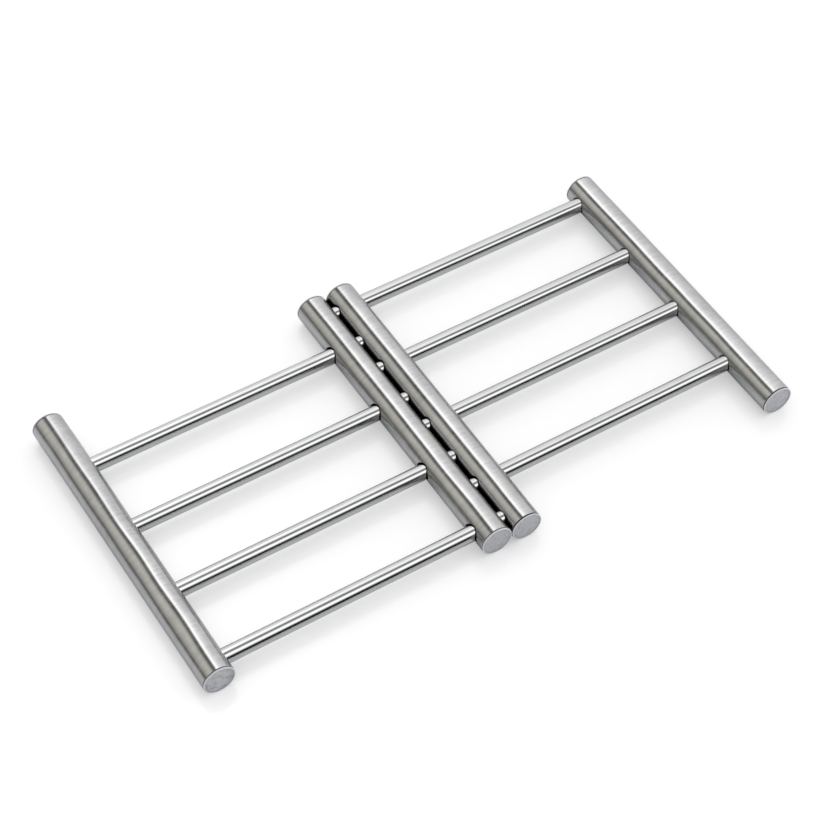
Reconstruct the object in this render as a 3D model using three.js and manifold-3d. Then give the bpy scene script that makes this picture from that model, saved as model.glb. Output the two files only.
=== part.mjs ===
// Extending trivet: two identical ladder frames of steel tube that slide through each other.
// Each frame is an outer bar, an inner bar and a row of rods fixed between them. The rods of
// one frame run through clearance holes in the inner bar of the other, which is turned round
// by half a turn. The part is drawn fully extended, with its inner bars side by side.
// Millimetres, +X along the rods, +Y along the bars, +Z up, origin on the table at the centre.

import * as THREE from "three";
import * as BufferGeometryUtils from "three/addons/utils/BufferGeometryUtils.js";
import Module from "manifold-3d";

const wasm = await Module();
wasm.setup();

// Bars: round tube, closed at both ends by a pressed-in plug.
const barDiameter = 19;
const barWall = 1;
const barLength = 200; // over the faces of both plugs

// Frame: the distance between the axes of its two bars, and the row of rods.
const barSpacing = 190.7;
const rodDiameter = 9.3;
const rodWall = 0.8;
const rodCount = 4;
const rodEndDistance = 12; // from the end of the bar to the axis of the first rod
const rodStagger = 26.9; // how much further from the other end the last rod stays

// Fits.
const slideClearance = 0.95; // round a rod that slides through a bar, on the radius
const fixedClearance = 0.35; // round a rod that is fixed in a bar, on the radius
const restGap = 0.3; // between pieces that touch

// Plugs.
const plugFlange = 1;
const plugBevel = 0.5;
const plugSetback = 0.1; // the flange is smaller than the bar, on the radius
const plugWall = 1.5;

// Fineness of the round pieces, in sides. Multiples of four put flats at the top and bottom.
const barSides = 48;
const holeSides = 24;
const rodSides = 24;
const plugSides = 24;

const barRadius = barDiameter / 2;
const boreRadius = barRadius - barWall;
const rodRadius = rodDiameter / 2;
const slideHoleRadius = rodRadius + slideClearance;
const fixedHoleRadius = rodRadius + fixedClearance;
const tubeLength = barLength - 2 * (plugFlange + restGap);
const rodPitch = (barLength - 2 * rodEndDistance - rodStagger) / (rodCount - 1);
const rodReach = Math.sqrt(boreRadius ** 2 - rodRadius ** 2) - restGap; // past a bar's axis
const stemLength = rodEndDistance - plugFlange - slideHoleRadius - 2 * restGap;
const extendedSpan = 2 * barSpacing - barDiameter - restGap; // between the outer bars' axes

const steelBrushed = { color: 0xc4c3be, roughness: 0.32, metalness: 1 };
const steelPolished = { color: 0xd3d3d0, roughness: 0.14, metalness: 1 };
const plasticGrey = { color: 0xa7a9ad, roughness: 0.5, metalness: 0 };

// Radius of the corners of a polygon whose flats lie at the given radius.
function cornerRadius(radius, sides) {
  return radius / Math.cos(Math.PI / sides);
}

// A profile of [radius, height] points turned about the Y axis, with flats towards X and Z.
function turned(profile, sides) {
  const points = profile.map(([radius, y]) => new THREE.Vector2(cornerRadius(radius, sides), y));
  return new THREE.LatheGeometry(points, sides, Math.PI / sides);
}

function tube(outerRadius, innerRadius, length, sides) {
  const half = length / 2;
  const profile = [
    [innerRadius, -half],
    [outerRadius, -half],
    [outerRadius, half],
    [innerRadius, half],
    [innerRadius, -half],
  ];
  return turned(profile, sides);
}

function toSolid(geometry) {
  geometry.deleteAttribute("normal");
  geometry.deleteAttribute("uv");
  const merged = BufferGeometryUtils.mergeVertices(geometry);
  const mesh = new wasm.Mesh({
    numProp: 3,
    vertProperties: merged.attributes.position.array,
    triVerts: Uint32Array.from(merged.index.array),
  });
  return new wasm.Manifold(mesh);
}

function toGeometry(solid) {
  const mesh = solid.getMesh();
  const geometry = new THREE.BufferGeometry();
  geometry.setAttribute("position", new THREE.BufferAttribute(mesh.vertProperties, 3));
  geometry.setIndex(new THREE.BufferAttribute(mesh.triVerts, 1));
  return geometry;
}

// A cutter along X, from fromX to toX, at the place of a rod along the bar.
function holeCutter(radius, fromX, toX, y) {
  const corner = cornerRadius(radius, holeSides);
  const length = toX - fromX;
  const cutter = new THREE.CylinderGeometry(
    corner, corner, length, holeSides, 1, false, Math.PI / holeSides
  );
  cutter.rotateZ(Math.PI / 2);
  cutter.translate((fromX + toX) / 2, y, 0);
  return toSolid(cutter);
}

// Where the frame's own rods sit along its bars, from the end at -Y.
function rodPlaces() {
  return Array.from({ length: rodCount }, (_, i) => rodEndDistance - barLength / 2 + i * rodPitch);
}

// inwards is the side of the bar that its own rods enter, +1 or -1. An inner bar also lets
// through the rods of the other frame, which lie at the same places counted from the other end.
function bar(inwards, isInner) {
  let solid = toSolid(tube(barRadius, boreRadius, tubeLength, barSides));
  const outside = inwards * barDiameter;
  for (const y of rodPlaces()) {
    const fromX = Math.min(0, outside);
    const toX = Math.max(0, outside);
    solid = solid.subtract(holeCutter(fixedHoleRadius, fromX, toX, y));
    if (isInner) {
      solid = solid.subtract(holeCutter(slideHoleRadius, -barDiameter, barDiameter, -y));
    }
  }
  return toGeometry(solid);
}

// A plug stands with its face at y = 0, facing +Y: a bevelled flange on a hollow stem.
function plug() {
  const flangeRadius = barRadius - plugSetback;
  const stemRadius = boreRadius - restGap;
  const stemEnd = -plugFlange - restGap - stemLength;
  const profile = [
    [0, -plugFlange],
    [stemRadius - plugWall, -plugFlange],
    [stemRadius - plugWall, stemEnd],
    [stemRadius, stemEnd],
    [stemRadius, -plugFlange],
    [flangeRadius, -plugFlange],
    [flangeRadius, -plugBevel],
    [flangeRadius - plugBevel, 0],
    [0, 0],
  ];
  return turned(profile, plugSides);
}

function addMesh(group, name, geometry, finish) {
  const mesh = new THREE.Mesh(geometry, new THREE.MeshStandardMaterial(finish));
  mesh.name = name;
  group.add(mesh);
  return mesh;
}

// One ladder frame, with its outer bar's axis at x = 0 and its inner bar at x = barSpacing.
// plusYEnd and minusYEnd name the ends of its bars as they lie in the assembled part.
function ladderFrame(side, plusYEnd, minusYEnd) {
  const group = new THREE.Group();
  const bars = [
    { name: "outer_bar", x: 0, geometry: bar(1, false) },
    { name: "inner_bar", x: barSpacing, geometry: bar(-1, true) },
  ];
  for (const { name, x, geometry } of bars) {
    addMesh(group, `${side}_${name}`, geometry, steelBrushed).position.set(x, 0, 0);
    const backPlug = addMesh(group, `${side}_${name}_${plusYEnd}_plug`, plug(), plasticGrey);
    backPlug.position.set(x, barLength / 2, 0);
    const frontPlug = addMesh(group, `${side}_${name}_${minusYEnd}_plug`, plug(), plasticGrey);
    frontPlug.position.set(x, -barLength / 2, 0);
    frontPlug.rotation.z = Math.PI;
  }
  const rodLength = barSpacing + 2 * rodReach;
  rodPlaces().forEach((y, i) => {
    const geometry = tube(rodRadius, rodRadius - rodWall, rodLength, rodSides);
    const rod = addMesh(group, `${side}_rod_${i + 1}`, geometry, steelPolished);
    rod.rotation.z = Math.PI / 2;
    rod.position.set(barSpacing / 2, y, 0);
  });
  return group;
}

const trivet = new THREE.Group();

const leftFrame = ladderFrame("left", "back", "front");
leftFrame.position.set(-extendedSpan / 2, 0, barRadius);
trivet.add(leftFrame);

const rightFrame = ladderFrame("right", "front", "back");
rightFrame.position.set(extendedSpan / 2, 0, barRadius);
rightFrame.rotation.z = Math.PI;
trivet.add(rightFrame);

export default trivet;
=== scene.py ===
"""Looks for the extending trivet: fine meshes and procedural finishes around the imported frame.

Metres, +X along the rods, +Y along the bars, +Z up. Every place and overall size comes from the
frame; only what its boxes can't tell, such as a wall or a fillet, is named here.
"""

import math

import bmesh
import bpy
from mathutils import Matrix, Vector


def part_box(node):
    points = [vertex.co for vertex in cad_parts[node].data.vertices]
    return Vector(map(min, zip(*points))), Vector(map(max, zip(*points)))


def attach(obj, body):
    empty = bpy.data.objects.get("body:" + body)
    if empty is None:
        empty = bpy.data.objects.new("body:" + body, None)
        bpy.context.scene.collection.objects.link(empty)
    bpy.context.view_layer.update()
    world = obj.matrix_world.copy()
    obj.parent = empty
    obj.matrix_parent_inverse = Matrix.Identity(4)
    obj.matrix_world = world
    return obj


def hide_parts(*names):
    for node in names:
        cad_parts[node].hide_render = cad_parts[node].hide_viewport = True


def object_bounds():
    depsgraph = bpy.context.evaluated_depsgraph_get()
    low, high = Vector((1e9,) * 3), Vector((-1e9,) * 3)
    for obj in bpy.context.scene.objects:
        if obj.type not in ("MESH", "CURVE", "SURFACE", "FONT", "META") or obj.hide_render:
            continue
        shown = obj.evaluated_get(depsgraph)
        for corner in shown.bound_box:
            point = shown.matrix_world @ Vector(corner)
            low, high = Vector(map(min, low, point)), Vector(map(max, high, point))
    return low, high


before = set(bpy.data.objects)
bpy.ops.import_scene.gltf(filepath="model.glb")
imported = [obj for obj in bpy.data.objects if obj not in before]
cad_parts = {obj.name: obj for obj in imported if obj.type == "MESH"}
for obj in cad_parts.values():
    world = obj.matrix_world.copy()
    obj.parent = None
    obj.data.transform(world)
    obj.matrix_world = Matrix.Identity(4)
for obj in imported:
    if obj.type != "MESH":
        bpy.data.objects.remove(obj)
cad_low, cad_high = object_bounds()

MM = 0.001
SIDES = ("left", "right")
BARS = ("outer_bar", "inner_bar")
ENDS = ("front", "back")
ROD_COUNT = 4

# Sizes that the boxes of the frame don't give.
BAR_WALL = 1.0 * MM
ROD_WALL = 0.8 * MM
SLIDE_CLEARANCE = 0.95 * MM
FIXED_CLEARANCE = 0.35 * MM
HOLE_EDGE = 0.22 * MM  # rounding of the edge of a drilled hole
TUBE_EDGE = 0.25 * MM  # rounding of the end of a tube

# The tubes aren't quite true. Shallow dents, as (degrees from the top towards +X, y, depth) with
# both lengths in mm, make the highlight wind, most of all on the left outer bar. They are set to
# follow the highlights measured in the photograph, and partly stand in for light that the studio
# lacks, so they aren't measured depths.
DENTS = {
    "left_outer_bar": (
        (-34, -62, 0.60), (-34, -14, 0.50), (-34, 37, 0.24), (-34, 84, 0.34), (42, 13, 0.25),
    ),  # fmt: skip
    "right_inner_bar": ((-46, -80, 0.14), (30, -50, 0.22), (30, -12, 0.10), (-46, 72, 0.10)),
    "left_inner_bar": ((30, -86, 0.20), (-46, -30, 0.06), (30, 40, 0.04)),
    "right_outer_bar": ((-50, -46, 0.20), (-50, -4, 0.24), (-50, 34, 0.20), (36, 84, 0.08)),
}
DENT_HALF_TURN = 0.5  # radians
DENT_HALF_LENGTH = 12 * MM

# Plugs that aren't pushed fully home show a seam.
SEAM = 0.12 * MM
OPEN_SEAMS = {"left_inner_bar_front_plug": 0.45 * MM, "right_outer_bar_front_plug": 0.32 * MM}

# Fineness of the drilled tubes, in grid cells.
TUBE_COLUMNS = 96
PATCH_COLUMNS = 24  # across the square patch round a hole
PATCH_ROWS = 16
PATCH_HALF_LENGTH = 7.2 * MM
PATCH_RINGS = 4
LONGEST_ROW = 4 * MM
EDGE_STEPS = 4
ROUND_SIDES = 96
ROD_SIDES = 72


# ---------------------------------------------------------------- meshes


def new_object(name, vertices, faces, normals=None):
    """A closed, smooth mesh object. normals, one for each vertex, replace the computed ones."""
    mesh = bpy.data.meshes.new(name)
    mesh.from_pydata([tuple(v) for v in vertices], [], faces)
    work = bmesh.new()
    work.from_mesh(mesh)
    bmesh.ops.recalc_face_normals(work, faces=work.faces)
    work.to_mesh(mesh)
    work.free()
    mesh.shade_smooth()
    if normals is None:
        mesh.set_sharp_from_angle(angle=math.radians(35))
    else:
        mesh.normals_split_custom_set_from_vertices([tuple(n) for n in normals])
    obj = bpy.data.objects.new(name, mesh)
    bpy.context.scene.collection.objects.link(obj)
    return obj


def revolved(name, profile, sides):
    """profile, a list of (radius, y), turned about Y. It starts and ends on the axis or closes."""
    closes = profile[0] == profile[-1]
    points = profile[:-1] if closes else profile
    vertices, rings = [], []
    for radius, y in points:
        if radius == 0:
            rings.append([len(vertices)] * sides)
            vertices.append((0, y, 0))
            continue
        rings.append(range(len(vertices), len(vertices) + sides))
        for k in range(sides):
            turn = 2 * math.pi * k / sides
            vertices.append((radius * math.cos(turn), y, radius * math.sin(turn)))
    faces = []
    for i in range(len(points) if closes else len(points) - 1):
        a, b = rings[i], rings[(i + 1) % len(points)]
        for k in range(sides):
            m = (k + 1) % sides
            corners = [a[k], a[m], b[m], b[k]]
            faces.append(list(dict.fromkeys(corners)))
    return new_object(name, vertices, faces)


def arc(centre, radius, start, end, steps):
    """Points of an arc in the plane of a profile, angles in degrees from outwards towards +y."""
    turns = [math.radians(start + (end - start) * i / steps) for i in range(steps + 1)]
    return [(centre[0] + radius * math.cos(t), centre[1] + radius * math.sin(t)) for t in turns]


class TubeMesh:
    """A round tube along Y with rounded ends and drilled holes, as one closed quad mesh.

    The outer and the inner surface are both a grid of columns round the tube and rows along it.
    Round each hole a square patch of the grid is replaced by rings that run from the rounded
    edge of the hole out to the square. Normals are worked out, so that reflections run true.
    """

    def __init__(self, outer, bore, length, holes, dents):
        self.outer, self.bore, self.half = outer, bore, length / 2
        self.dents = dents  # (degrees from +Z towards +X, y in mm, depth in mm)
        self.holes = holes  # (side, y, radius), where side is +1 towards +X and -1 towards -X
        self.vertices, self.normals, self.faces, self.index = [], [], [], {}
        self.rows = self.row_places()

    def row_places(self):
        places = {-self.half + TUBE_EDGE, self.half - TUBE_EDGE}
        for _, y, _ in self.holes:
            for k in range(PATCH_ROWS + 1):
                places.add(round(y + PATCH_HALF_LENGTH * (2 * k / PATCH_ROWS - 1), 9))
        rows = []
        for a, b in zip(sorted(places), sorted(places)[1:]):
            parts = math.ceil((b - a) / LONGEST_ROW)
            rows += [a + (b - a) * k / parts for k in range(parts)]
        return rows + [max(places)]

    def add(self, point, normal):
        """A vertex, pushed in with its normal where the tube is dented."""
        point, normal = Vector(point), Vector(normal).normalized()
        around = Vector((point.x, 0, point.z)).normalized()
        along_turn = Vector((-around.z, 0, around.x))
        turn = math.atan2(point.z, point.x)
        depth, by_turn, by_length = 0, 0, 0
        for degrees, dent_y, dent_depth in self.dents:
            off_turn = (turn - math.radians(90 - degrees) + math.pi) % (2 * math.pi) - math.pi
            off_y = point.y - dent_y * MM
            spread = (off_turn / DENT_HALF_TURN) ** 2 + (off_y / DENT_HALF_LENGTH) ** 2
            here = dent_depth * MM * math.exp(-spread / 2)
            depth += here
            by_turn -= here * off_turn / DENT_HALF_TURN**2
            by_length -= here * off_y / DENT_HALF_LENGTH**2
        facing = normal.dot(around)
        slope = along_turn * (by_turn / self.outer) + Vector((0, by_length, 0))
        self.vertices.append(point - around * depth)
        self.normals.append((normal + slope * facing).normalized())
        return len(self.vertices) - 1

    def on_surface(self, radius, turn, y):
        """A vertex of the outer or the inner surface, at an angle from +X towards +Z."""
        around = Vector((math.cos(turn), 0, math.sin(turn)))
        facing = around if radius == self.outer else -around
        return self.add(around * radius + Vector((0, y, 0)), facing)

    def grid_vertex(self, radius, column, row):
        key = (radius, column % TUBE_COLUMNS, row)
        if key not in self.index:
            turn = 2 * math.pi * key[1] / TUBE_COLUMNS
            self.index[key] = self.on_surface(radius, turn, self.rows[row])
        return self.index[key]

    def patch_of(self, hole):
        """First column and row of the square round a hole."""
        side, y, _ = hole
        middle = 0 if side > 0 else TUBE_COLUMNS // 2
        first_row = self.rows.index(round(y - PATCH_HALF_LENGTH, 9))
        return middle - PATCH_COLUMNS // 2, first_row

    def build(self, name):
        covered = set()
        for hole in self.holes:
            column, row = self.patch_of(hole)
            for i in range(PATCH_COLUMNS):
                for j in range(PATCH_ROWS):
                    covered.add(((column + i) % TUBE_COLUMNS, row + j))
        for radius in (self.outer, self.bore):
            for column in range(TUBE_COLUMNS):
                for row in range(len(self.rows) - 1):
                    if (column, row) not in covered:
                        self.grid_cell(radius, column, row)
        for hole in self.holes:
            self.drill(hole)
        for end, row in ((-1, 0), (1, len(self.rows) - 1)):
            self.close_end(end, row)
        return new_object(name, self.vertices, self.faces, self.normals)

    def grid_cell(self, radius, column, row):
        corners = ((column, row), (column + 1, row), (column + 1, row + 1), (column, row + 1))
        self.faces.append([self.grid_vertex(radius, c, r) for c, r in corners])

    def strip(self, a, b):
        """Quads between two closed rings of the same length."""
        for k in range(len(a)):
            m = (k + 1) % len(a)
            self.faces.append([a[k], a[m], b[m], b[k]])

    def close_end(self, end, row):
        rings = [[self.grid_vertex(self.outer, c, row) for c in range(TUBE_COLUMNS)]]
        steps = [90 * k / EDGE_STEPS for k in range(1, EDGE_STEPS + 1)]
        for angle in map(math.radians, steps):
            radius = self.outer - TUBE_EDGE * (1 - math.cos(angle))
            y = end * (self.half - TUBE_EDGE * (1 - math.sin(angle)))
            lean = (math.cos(angle), end * math.sin(angle))
            rings.append(self.ring(radius, y, lean))
        rings.append(self.ring(self.bore, end * self.half, (0, end)))
        rings.append([self.grid_vertex(self.bore, c, row) for c in range(TUBE_COLUMNS)])
        for a, b in zip(rings, rings[1:]):
            self.strip(a, b)

    def ring(self, radius, y, lean):
        made = []
        for column in range(TUBE_COLUMNS):
            turn = 2 * math.pi * column / TUBE_COLUMNS
            around = Vector((math.cos(turn), 0, math.sin(turn)))
            along = Vector((0, 1, 0))
            made.append(self.add(around * radius + along * y, around * lean[0] + along * lean[1]))
        return made

    def drill(self, hole):
        side, hole_y, radius = hole
        column, row = self.patch_of(hole)
        square = [(i, 0) for i in range(PATCH_COLUMNS)]
        square += [(PATCH_COLUMNS, j) for j in range(PATCH_ROWS)]
        square += [(PATCH_COLUMNS - i, PATCH_ROWS) for i in range(PATCH_COLUMNS)]
        square += [(0, PATCH_ROWS - j) for j in range(PATCH_ROWS)]
        middle = 0 if side > 0 else math.pi
        step = 2 * math.pi / TUBE_COLUMNS
        around, places = [], []
        for i, j in square:
            turn = (i - PATCH_COLUMNS / 2) * step
            y = self.rows[row + j] - hole_y
            around.append(math.atan2(turn * self.outer * side, y))
            places.append((turn, y))

        def surface_rings(surface, hole_radius):
            """From the square to the hole, on the outer or the inner surface."""
            outermost = [self.grid_vertex(surface, column + i, row + j) for i, j in square]
            rings = [outermost]
            for k in range(1, PATCH_RINGS + 1):
                share = (k / PATCH_RINGS) ** 0.8
                made = []
                for (turn, y), angle in zip(places, around):
                    z = hole_radius * math.sin(angle) * side
                    hole_turn = math.asin(z / surface)
                    turn_here = turn + (hole_turn - turn) * share
                    y_here = y + (hole_radius * math.cos(angle) - y) * share
                    made.append(self.on_surface(surface, middle + turn_here, hole_y + y_here))
                rings.append(made)
            return rings

        outside = surface_rings(self.outer, radius + HOLE_EDGE)
        inside = surface_rings(self.bore, radius)
        rings = outside
        for k in range(1, EDGE_STEPS + 1):
            tilt = math.pi / 2 * k / EDGE_STEPS
            made = []
            for angle in around:
                reach = radius + HOLE_EDGE * (1 - math.sin(tilt))
                across, up = math.cos(angle), math.sin(angle)
                depth = math.sqrt(self.outer**2 - (reach * up) ** 2) - HOLE_EDGE * (1 - math.cos(tilt))
                surface_normal = Vector((depth * side, 0, reach * up)).normalized()
                inwards = Vector((0, -across, -up))
                point = (side * depth, hole_y + reach * across, reach * up)
                made.append(self.add(point, surface_normal * math.cos(tilt) + inwards * math.sin(tilt)))
            rings.append(made)
        rings += inside[::-1]
        for a, b in zip(rings, rings[1:]):
            self.strip(a, b)


# ---------------------------------------------------------------- materials

# Painted shade: how near a neighbour must stand for the steel to be dulled, and the near black it is
# dulled to.
CREVICE_SHADE_REACH = 12 * MM
CREVICE_SHADE_COLOUR = (0.02, 0.02, 0.02)
# Plug colours: a painted highlight on the rim, painted shade in the step inside it and in the seam.
RIM_HIGHLIGHT_COLOUR = (0.68, 0.68, 0.71)
STEP_SHADE_COLOUR = (0.2, 0.2, 0.21)
SEAM_SHADE_COLOUR = (0.01, 0.01, 0.01)


def node(tree, kind, **settings):
    made = tree.nodes.new(kind)
    for key, value in settings.items():
        setattr(made, key, value)
    return made


def math_node(tree, operation, a, b=None, clamp=False):
    made = node(tree, "ShaderNodeMath", operation=operation, use_clamp=clamp)
    for socket, value in zip(made.inputs, (a, b)):
        if value is None:
            continue
        if isinstance(value, (int, float)):
            socket.default_value = value
        else:
            tree.links.new(value, socket)
    return made.outputs[0]


def average(tree, first, second):
    return math_node(tree, "MULTIPLY", math_node(tree, "ADD", first, second), 0.5)


def streaks(tree, scale, detail, roughness=0.6):
    """Noise stretched by a scale along each axis of the piece, as a value from 0 to 1."""
    place = node(tree, "ShaderNodeTexCoord")
    stretch = node(tree, "ShaderNodeMapping")
    stretch.inputs["Scale"].default_value = scale
    noise = node(tree, "ShaderNodeTexNoise", noise_dimensions="4D")
    piece = node(tree, "ShaderNodeObjectInfo")
    tree.links.new(math_node(tree, "MULTIPLY", piece.outputs["Random"], 50), noise.inputs["W"])
    noise.inputs["Scale"].default_value = 1
    noise.inputs["Detail"].default_value = detail
    noise.inputs["Roughness"].default_value = roughness
    tree.links.new(place.outputs["Object"], stretch.inputs["Vector"])
    tree.links.new(stretch.outputs["Vector"], noise.inputs["Vector"])
    return noise.outputs["Fac"]


def ramp(tree, value, low, high):
    """value, a noise, spread over low to high. Colours take it whole, numbers from 0.3 to 0.7."""
    if isinstance(low, tuple):
        return mix_colours(tree, value, low, high)
    made = node(tree, "ShaderNodeMapRange")
    made.inputs["From Min"].default_value = 0.3
    made.inputs["From Max"].default_value = 0.7
    made.inputs["To Min"].default_value = low
    made.inputs["To Max"].default_value = high
    tree.links.new(value, made.inputs["Value"])
    return made.outputs["Result"]


def mix_colours(tree, share, first, second):
    made = node(tree, "ShaderNodeMix", data_type="RGBA")
    tree.links.new(share, made.inputs[0])
    for socket, colour in zip((made.inputs[6], made.inputs[7]), (first, second)):
        if isinstance(colour, tuple):
            socket.default_value = (*colour, 1)
        else:
            tree.links.new(colour, socket)
    return made.outputs[2]


def smooth_step(tree, value, start, end):
    """0 up to start, 1 from end, and a smooth rise between."""
    rise = node(tree, "ShaderNodeMapRange", interpolation_type="SMOOTHSTEP")
    rise.inputs["From Min"].default_value = start
    rise.inputs["From Max"].default_value = end
    tree.links.new(value, rise.inputs["Value"])
    return rise.outputs[0]


def bump(tree, height, strength, distance, normal=None):
    made = node(tree, "ShaderNodeBump")
    made.inputs["Strength"].default_value = strength
    made.inputs["Distance"].default_value = distance
    tree.links.new(height, made.inputs["Height"])
    if normal is not None:
        tree.links.new(normal, made.inputs["Normal"])
    return made.outputs["Normal"]


def painted_shade_in_crevices(tree, colour):
    """colour, with painted shade: dulled towards black where a neighbour stands close, as in the seam
    between bars.
    """
    open_sky = node(tree, "ShaderNodeAmbientOcclusion", samples=8)
    open_sky.inputs["Distance"].default_value = CREVICE_SHADE_REACH
    unshaded = smooth_step(tree, open_sky.outputs["AO"], 0.32, 0.70)
    return mix_colours(tree, unshaded, CREVICE_SHADE_COLOUR, colour)


def material(name):
    made = bpy.data.materials.new(name)
    made.use_nodes = True
    tree = made.node_tree
    return made, tree, tree.nodes["Principled BSDF"]


def brushed_steel():
    """Satin stainless tube, brushed round its circumference."""
    made, tree, shader = material("brushed_steel")
    shader.inputs["Metallic"].default_value = 1
    shader.inputs["Anisotropic"].default_value = 0.7
    shader.inputs["Anisotropic Rotation"].default_value = 0.25
    shader.inputs["Specular Tint"].default_value = (0.8, 0.8, 0.8, 1)
    fine = streaks(tree, (120, 3600, 120), 3)
    coarse = streaks(tree, (70, 520, 70), 4)
    cloud = streaks(tree, (170, 130, 170), 4)
    stain = streaks(tree, (70, 38, 70), 3)
    wave = streaks(tree, (28, 22, 28), 1)
    grain = average(tree, fine, coarse)
    tone = average(tree, grain, average(tree, cloud, stain))
    colour = ramp(tree, tone, (0.14, 0.14, 0.138), (0.78, 0.78, 0.778))
    # The base colour carries painted shade, dulled to near black in the seams between bars and wherever
    # another piece stands close.
    tree.links.new(painted_shade_in_crevices(tree, colour), shader.inputs["Base Color"])
    rough = math_node(tree, "ADD", ramp(tree, grain, 0.17, 0.27), ramp(tree, cloud, -0.03, 0.03))
    tree.links.new(rough, shader.inputs["Roughness"])
    waves = bump(tree, wave, 1, 0.0009)
    tree.links.new(bump(tree, grain, 0.5, 0.00003, waves), shader.inputs["Normal"])
    tangent = node(tree, "ShaderNodeTangent", direction_type="RADIAL", axis="Y")
    tree.links.new(tangent.outputs["Tangent"], shader.inputs["Tangent"])
    return made


def polished_steel():
    """Drawn and polished rod, with faint lines along it."""
    made, tree, shader = material("polished_steel")
    shader.inputs["Metallic"].default_value = 1
    lines = streaks(tree, (2500, 40, 2500), 2)
    cloud = streaks(tree, (140, 90, 140), 4)
    colour = ramp(tree, cloud, (0.45, 0.45, 0.45), (0.55, 0.55, 0.55))
    tree.links.new(colour, shader.inputs["Base Color"])
    rough = math_node(tree, "ADD", ramp(tree, lines, 0.09, 0.14), ramp(tree, cloud, -0.02, 0.02))
    tree.links.new(rough, shader.inputs["Roughness"])
    tree.links.new(bump(tree, lines, 0.15, 0.00001), shader.inputs["Normal"])
    return made


def frosted_plastic(name, palest, darkest, waviness):
    """Grey, slightly see-through moulded plastic of the end plugs.

    The rim is painted paler, a painted highlight; the step inside it is painted darker, painted shade in
    the recess; the stem and the back of the flange are painted near black, painted shade in the seam.
    """
    made, tree, shader = material(name)
    shader.inputs["IOR"].default_value = 1.49
    shader.inputs["Subsurface Weight"].default_value = 0.15
    shader.inputs["Subsurface Radius"].default_value = (0.0012, 0.0012, 0.0013)
    cloud = streaks(tree, (260, 260, 260), 4)
    grain = streaks(tree, (2200, 2200, 2200), 3)
    face = ramp(tree, cloud, darkest, palest)
    piece = node(tree, "ShaderNodeTexCoord")
    split = node(tree, "ShaderNodeSeparateXYZ")
    tree.links.new(piece.outputs["Object"], split.inputs[0])
    x, y, z = split.outputs  # y is 0 at the face and negative towards the tube
    squares = [math_node(tree, "MULTIPLY", side, side) for side in (x, z)]
    radius = math_node(tree, "SQRT", math_node(tree, "ADD", *squares))
    # Painted highlight: the rim of the plug is painted paler.
    rim_highlight = smooth_step(tree, radius, 8.4 * MM, 8.8 * MM)
    towards_rim = smooth_step(tree, radius, 7.4 * MM, 8.4 * MM)
    step_shade = math_node(tree, "SUBTRACT", towards_rim, rim_highlight)
    toned = mix_colours(tree, rim_highlight, face, RIM_HIGHLIGHT_COLOUR)
    # Painted shade: the step in the recess just inside the rim is painted darker.
    toned = mix_colours(tree, math_node(tree, "MULTIPLY", step_shade, 0.4), toned, STEP_SHADE_COLOUR)
    # Painted shade: the back of the flange and the stem, seen through the seam, are painted near black.
    seam_shade = smooth_step(tree, math_node(tree, "MULTIPLY", y, -1), 0.8 * MM, 0.95 * MM)
    toned = mix_colours(tree, seam_shade, toned, SEAM_SHADE_COLOUR)
    tree.links.new(toned, shader.inputs["Base Color"])
    tree.links.new(ramp(tree, cloud, 0.2, 0.4), shader.inputs["Roughness"])
    waves = bump(tree, cloud, 0.8, waviness)
    tree.links.new(bump(tree, grain, 0.2, 0.00003, waves), shader.inputs["Normal"])
    return made


# ---------------------------------------------------------------- pieces


def centre(name):
    low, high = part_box(name)
    return (low + high) / 2


def size(name):
    low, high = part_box(name)
    return high - low


def place(obj, at, body, slot, stands_for, finish):
    obj.matrix_world = at
    obj.data.materials.append(finish)
    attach(obj, body)
    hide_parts(stands_for)


def make_bar(side, bar, finish):
    name = f"{side}_{bar}"
    at = centre(name)
    outer = size(name).x / 2
    rod_radius = size("left_rod_1").z / 2
    rods_lie = 1 if centre(f"{side}_rod_1").x > at.x else -1
    holes = []
    for i in range(ROD_COUNT):
        y = centre(f"{side}_rod_{i + 1}").y - at.y
        holes.append((rods_lie, y, rod_radius + FIXED_CLEARANCE))
    if bar == "inner_bar":
        other = "right" if side == "left" else "left"
        for i in range(ROD_COUNT):
            y = centre(f"{other}_rod_{i + 1}").y - at.y
            holes += [(towards, y, rod_radius + SLIDE_CLEARANCE) for towards in (-1, 1)]
    tube = TubeMesh(outer, outer - BAR_WALL, size(name).y, holes, DENTS[name]).build(f"{name}_tube")
    place(tube, Matrix.Translation(at), f"{side}_frame", "bar_steel", name, finish)


def make_rod(side, number, finish):
    name = f"{side}_rod_{number}"
    radius, half = size(name).z / 2, size(name).x / 2
    bore, edge, support = radius - ROD_WALL, 0.3 * MM, 1.5 * MM
    profile = [(bore, -half), (radius - edge, -half)]
    profile += arc((radius - edge, -half + edge), edge, -90, 0, EDGE_STEPS)[1:]
    profile += [(radius, -half + support), (radius, half - support)]
    profile += arc((radius - edge, half - edge), edge, 0, 90, EDGE_STEPS)
    profile += [(bore, half), (bore, -half)]
    rod = revolved(f"{name}_tube", profile, ROD_SIDES)
    at = Matrix.Translation(centre(name)) @ Matrix.Rotation(math.pi / 2, 4, "Z")
    place(rod, at, f"{side}_frame", "rod_steel", name, finish)


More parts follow.
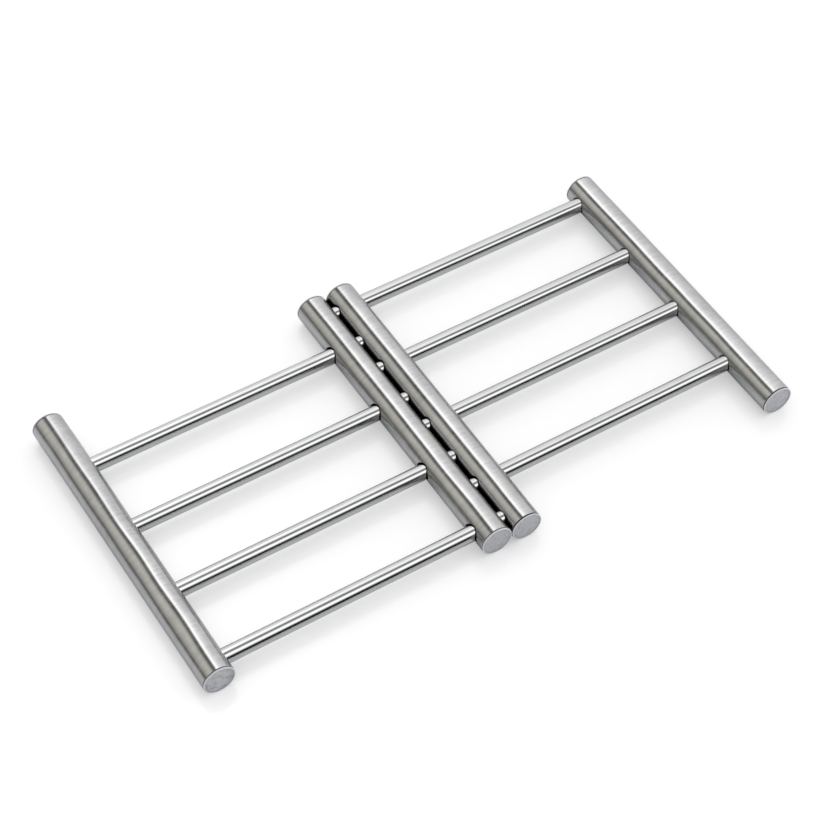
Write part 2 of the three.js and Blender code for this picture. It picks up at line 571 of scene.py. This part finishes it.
def make_plug(side, bar, end, finish):
    """Flange with a rounded edge and a shallow dish in its face, on a hollow stem."""
    name = f"{side}_{bar}_{end}_plug"
    low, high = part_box(name)
    radius, depth = (high.x - low.x) / 2, high.y - low.y
    bore = size(f"{side}_{bar}").x / 2 - BAR_WALL
    flange, edge, rim, dish, gap, wall = (v * MM for v in (1.0, 0.35, 0.4, 0.3, 0.3, 1.5))
    stem = bore - gap
    back = -flange + OPEN_SEAMS.get(name, SEAM)
    profile = [(0, -flange), (stem - wall, -flange), (stem - wall, -depth), (stem, -depth)]
    profile += [(stem, back), (radius - 0.1 * MM, back), (radius, back + 0.1 * MM)]
    profile += arc((radius - edge, -edge), edge, 0, 90, 6)
    step = radius - edge - rim
    profile += [(step, 0), (step - dish * 0.2, -dish * 0.12), (step - dish * 0.5, -dish * 0.5)]
    profile += [(step - dish * 0.8, -dish * 0.88), (step - dish * 1.2, -dish)]
    profile += [(radius * 0.45, -dish * 0.8), (0, -dish * 0.7)]
    plug = revolved(f"{name}_cap", profile, ROUND_SIDES)
    at = centre(name)
    face = Vector((at.x, high.y if end == "back" else low.y, at.z))
    turn = Matrix.Rotation(0 if end == "back" else math.pi, 4, "Z")
    place(plug, Matrix.Translation(face) @ turn, f"{side}_frame", "plug_plastic", name, finish)


# ---------------------------------------------------------------- studio


# The camera that best fits the edges of the part to the photograph.
CAMERA_AZIMUTH = -32.704  # degrees round from the front, negative towards -X
CAMERA_ELEVATION = 50.359
CAMERA_ROLL = 1.037
CAMERA_DISTANCE = 1.34055
CAMERA_TARGET = Vector((-0.00075, -0.00119, 0.0095))
CAMERA_LENS = 102.869
SENSOR_WIDTH = 36  # mm
FLOOR_HALF_WIDTH = 8.0
FLOOR_SEEN = (0.63, 0.63, 0.63)
FLOOR_MIRRORED = (0.96, 0.98, 1.0)
FLOOR_GLOW = 0.42  # for the camera only, so that the paper is white with no more light on the steel

# Brightness of the studio as the steel mirrors it, by tilt from straight up in degrees. The first
# goes from the left horizon over the top to the right one, the second from the front to the back.
# They were worked out from the brightness of the steel measured in the photograph, then adjusted
# until the bands on the steel agreed with it. So this light isn't plain.
LEFT_TO_RIGHT = (
    (-90, 0.08), (-80, 0.27), (-66, 0.64), (-50, 0.86), (-38, 0.94), (-29, 0.78), (-20, 0.24), (-9, 0.13),
    (-4, 0.42), (0, 2.2), (8, 3.1), (18, 1.95), (32, 1.45), (46, 1.2), (70, 1.1), (90, 0.95),
)  # fmt: skip
FRONT_TO_BACK = (
    (-90, 0.02), (-76, 0.01), (-66, 0.05), (-55, 0.9), (-45, 2.3), (-34, 2.0), (-23, 0.75), (-13, 0.25),
    (-7, 0.28), (2, 1.0), (10, 1.8), (16, 1.7), (25, 1.3), (45, 1.2), (66, 1.15), (90, 1.15),
)  # fmt: skip
WARM = (1.0, 0.975, 0.905)
NEUTRAL = (0.995, 0.995, 1.0)
BRIGHTEST = 3.1
TINT_BELOW = -12  # degrees of tilt
OUTER_LAMP = 1.3  # the most that the rods mirror of the part of the lamp low in the back
CARD_HEIGHT = 1.35
CARD_REACH = 42  # degrees from straight up


def make_camera():
    azimuth, elevation = math.radians(CAMERA_AZIMUTH), math.radians(CAMERA_ELEVATION)
    level = math.cos(elevation)
    back = Vector((math.sin(azimuth) * level, -math.cos(azimuth) * level, math.sin(elevation)))
    data = bpy.data.cameras.new("camera")
    data.lens = CAMERA_LENS
    data.sensor_width = SENSOR_WIDTH
    camera = bpy.data.objects.new("camera", data)
    bpy.context.scene.collection.objects.link(camera)
    camera.rotation_mode = "QUATERNION"
    camera.location = CAMERA_TARGET + back * CAMERA_DISTANCE
    level_view = (-back).to_track_quat("-Z", "Y")
    roll = Matrix.Rotation(math.radians(CAMERA_ROLL), 3, "Z")
    camera.rotation_quaternion = level_view @ roll.to_quaternion()
    data.clip_end = 50
    bpy.context.scene.camera = camera


def flat_sheet(name, half_x, half_y, height, faces_up):
    corners = [(-half_x, -half_y, 0), (half_x, -half_y, 0), (half_x, half_y, 0), (-half_x, half_y, 0)]
    mesh = bpy.data.meshes.new(name)
    mesh.from_pydata(corners, [], [(0, 1, 2, 3) if faces_up else (3, 2, 1, 0)])
    sheet = bpy.data.objects.new(name, mesh)
    bpy.context.scene.collection.objects.link(sheet)
    sheet.location = (0, 0, height)
    return sheet


def make_floor():
    floor = flat_sheet("floor", FLOOR_HALF_WIDTH, FLOOR_HALF_WIDTH, cad_low.z, True)
    made, tree, shader = material("floor_white")
    # One plain tone all over, but the camera sees it whiter than the steel does.
    seen = node(tree, "ShaderNodeLightPath")
    tone = mix_colours(tree, seen.outputs["Is Camera Ray"], FLOOR_MIRRORED, FLOOR_SEEN)
    tree.links.new(tone, shader.inputs["Base Color"])
    shader.inputs["Roughness"].default_value = 0.2
    shader.inputs["Emission Color"].default_value = (1, 1, 1, 1)
    glow = math_node(tree, "MULTIPLY", seen.outputs["Is Camera Ray"], FLOOR_GLOW)
    tree.links.new(glow, shader.inputs["Emission Strength"])
    floor.data.materials.append(made)


def tilt_profile(tree, sideways, upwards, stops, tint):
    """Light from a table of (degrees, brightness) for a direction's tilt from straight up.

    tint colours the negative side, that is the walls to the left or in front.
    """
    tilt = math_node(tree, "DIVIDE", math_node(tree, "ARCTAN2", sideways, upwards), math.pi)
    share = math_node(tree, "ADD", tilt, 0.5, clamp=True)
    table = node(tree, "ShaderNodeValToRGB")
    table.color_ramp.interpolation = "EASE"
    points = table.color_ramp.elements
    while len(points) < len(stops):
        points.new(0.5)
    for point, (degrees, brightness) in zip(points, stops):
        point.position = (degrees + 90) / 180
        colour = tint if degrees < TINT_BELOW else NEUTRAL
        point.color = (*(brightness / BRIGHTEST * channel for channel in colour), 1)
    tree.links.new(share, table.inputs["Fac"])
    return table.outputs["Color"]


def studio_brightness(tree, direction):
    """Light from a direction, in two tables that meet: one for the back and left, one for the front."""
    split = node(tree, "ShaderNodeSeparateXYZ")
    tree.links.new(direction, split.inputs[0])
    x, y, z = split.outputs
    height = math_node(tree, "MAXIMUM", z, 0.0001)
    # The edges of the light in front run a little askew to the rods.
    off_side = math_node(tree, "SUBTRACT", x, math_node(tree, "MULTIPLY", z, 0.4))
    slanted = math_node(tree, "ADD", y, math_node(tree, "MULTIPLY", off_side, 0.27))
    across = tilt_profile(tree, x, height, LEFT_TO_RIGHT, WARM)
    lengthways = tilt_profile(tree, slanted, height, FRONT_TO_BACK, NEUTRAL)
    backwards = math_node(tree, "DIVIDE", y, height)
    # The bars mirror the lamp low in the back; higher up the rods see only its even outer part.
    capped = node(tree, "ShaderNodeMix", data_type="RGBA", blend_type="DARKEN")
    tree.links.new(smooth_step(tree, backwards, 0.66, 0.95), capped.inputs[0])
    tree.links.new(across, capped.inputs[6])
    capped.inputs[7].default_value = (*(OUTER_LAMP / BRIGHTEST * channel for channel in NEUTRAL), 1)
    behind = smooth_step(tree, backwards, 0.36, 0.52)
    leftwards = smooth_step(tree, math_node(tree, "DIVIDE", x, height), 0.08, -0.04)
    by_side = math_node(tree, "MAXIMUM", behind, leftwards)
    return mix_colours(tree, by_side, lengthways, capped.outputs[2])


def make_world():
    """The far part of the studio as the steel mirrors it, plain soft light for diffuse surfaces,
    and a pale backdrop for the camera.
    """
    world = bpy.data.worlds.new("studio")
    bpy.context.scene.world = world
    world.use_nodes = True
    world.cycles.sampling_method = "NONE"
    tree = world.node_tree
    background = tree.nodes["Background"]
    out = tree.nodes["World Output"]
    place_at = node(tree, "ShaderNodeTexCoord")
    tree.links.new(studio_brightness(tree, place_at.outputs["Generated"]), background.inputs["Color"])
    background.inputs["Strength"].default_value = BRIGHTEST
    seen = node(tree, "ShaderNodeLightPath")
    from_the_back = node(tree, "ShaderNodeVectorMath", operation="DOT_PRODUCT")
    tree.links.new(place_at.outputs["Generated"], from_the_back.inputs[0])
    from_the_back.inputs[1].default_value = (0.38, 0.44, 0.1)
    soft = node(tree, "ShaderNodeBackground")
    tree.links.new(math_node(tree, "ADD", from_the_back.outputs["Value"], 1.1), soft.inputs["Strength"])
    pale = node(tree, "ShaderNodeBackground")
    pale.inputs["Color"].default_value = (0.99, 0.995, 1, 1)
    diffuse = node(tree, "ShaderNodeMixShader")
    tree.links.new(seen.outputs["Is Diffuse Ray"], diffuse.inputs[0])
    tree.links.new(background.outputs[0], diffuse.inputs[1])
    tree.links.new(soft.outputs[0], diffuse.inputs[2])
    choose = node(tree, "ShaderNodeMixShader")
    tree.links.new(seen.outputs["Is Camera Ray"], choose.inputs[0])
    tree.links.new(diffuse.outputs[0], choose.inputs[1])
    tree.links.new(pale.outputs[0], choose.inputs[2])
    tree.links.new(choose.outputs[0], out.inputs["Surface"])


def make_overhead_card():
    """The near part of the studio: the same light, on a sheet hung over the table."""
    reach = CARD_HEIGHT * math.tan(math.radians(CARD_REACH))
    card = flat_sheet("overhead_card", reach, reach * 1.3, CARD_HEIGHT, False)
    card.visible_camera = False
    card.visible_shadow = False
    card.visible_diffuse = False
    made = bpy.data.materials.new("overhead_light")
    made.use_nodes = True
    made.cycles.emission_sampling = "NONE"
    tree = made.node_tree
    tree.nodes.remove(tree.nodes["Principled BSDF"])
    spot = node(tree, "ShaderNodeNewGeometry")
    light = node(tree, "ShaderNodeEmission")
    light.inputs["Strength"].default_value = BRIGHTEST
    tree.links.new(studio_brightness(tree, spot.outputs["Position"]), light.inputs["Color"])
    tree.links.new(light.outputs[0], tree.nodes["Material Output"].inputs["Surface"])
    card.data.materials.append(made)


make_camera()
make_floor()
make_world()
make_overhead_card()

view_settings = bpy.context.scene.view_settings
view_settings.view_transform = "Standard"
view_settings.look = "None"

bar_finish = brushed_steel()
rod_finish = polished_steel()
plug_finish = frosted_plastic("frosted_plastic", (0.55, 0.55, 0.58), (0.43, 0.43, 0.46), 0.0003)
scuffed_finish = frosted_plastic("scuffed_plastic", (0.95, 0.95, 1.0), (0.06, 0.06, 0.07), 0.0025)
for side in SIDES:
    for bar in BARS:
        make_bar(side, bar, bar_finish)
        for end in ENDS:
            scuffed = (side, bar, end) == ("left", "outer_bar", "front")
            make_plug(side, bar, end, scuffed_finish if scuffed else plug_finish)
    for number in range(1, ROD_COUNT + 1):
        make_rod(side, number, rod_finish)
